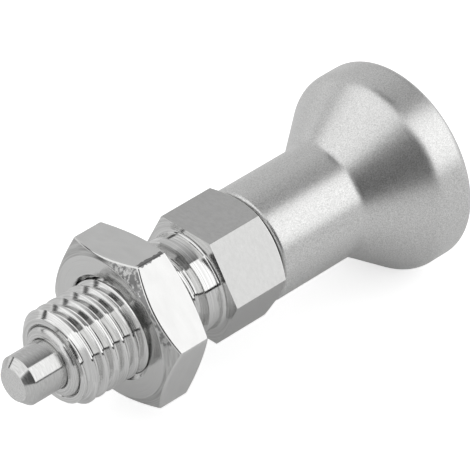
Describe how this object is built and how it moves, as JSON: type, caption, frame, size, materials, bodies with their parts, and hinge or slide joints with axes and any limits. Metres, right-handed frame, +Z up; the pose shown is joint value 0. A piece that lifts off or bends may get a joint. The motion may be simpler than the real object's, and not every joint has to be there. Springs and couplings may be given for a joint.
{
  "type": "indexing plunger",
  "caption": "Sprung indexing plunger with a threaded body, hexagonal collar, thin locknut and a mushroom pull grip.",
  "frame": {"origin": "on the plunger's axis, in the plane of the shoulder: the collar face that seats against the machine", "axes": "X along the plunger's axis, with the locating pin at -X and the grip at +X; +Z up"},
  "size_m": [0.0592, 0.0249, 0.0248],
  "materials": {
    "turned_steel": "fine turned, satin",
    "bush_steel": "turned, bright edges",
    "pin_steel": "ground, polished",
    "spring_steel": "drawn wire, smooth",
    "blasted_steel": "matt bead-blasted",
    "nut_steel": "fine turned faces, satin flats"
  },
  "bodies": {
    "sleeve": {"threaded_sleeve": "turned_steel", "guide_bush": "bush_steel"},
    "spring": {"compression_spring": "spring_steel"},
    "plunger": {"locating_pin": "pin_steel", "pull_grip": "blasted_steel"},
    "locknut": {"locknut": "nut_steel"}
  },
  "joints": [
    {"name": "grip_turn", "type": "hinge", "parent": "sleeve", "child": "spring", "pos_m": [0, 0, 0], "axis": [1, 0, 0], "continuous": true},
    {"name": "grip_pull", "type": "slide", "parent": "spring", "child": "plunger", "axis": [1, 0, 0], "range_m": [0, 0.006], "stiffness_N_per_m": 1333, "springref_m": -0.0045, "deforming": ["compression_spring"]},
    {"name": "locknut_travel", "type": "slide", "parent": "sleeve", "child": "locknut", "axis": [1, 0, 0], "range_m": [-0.0083, 0.0026]}
  ]
}
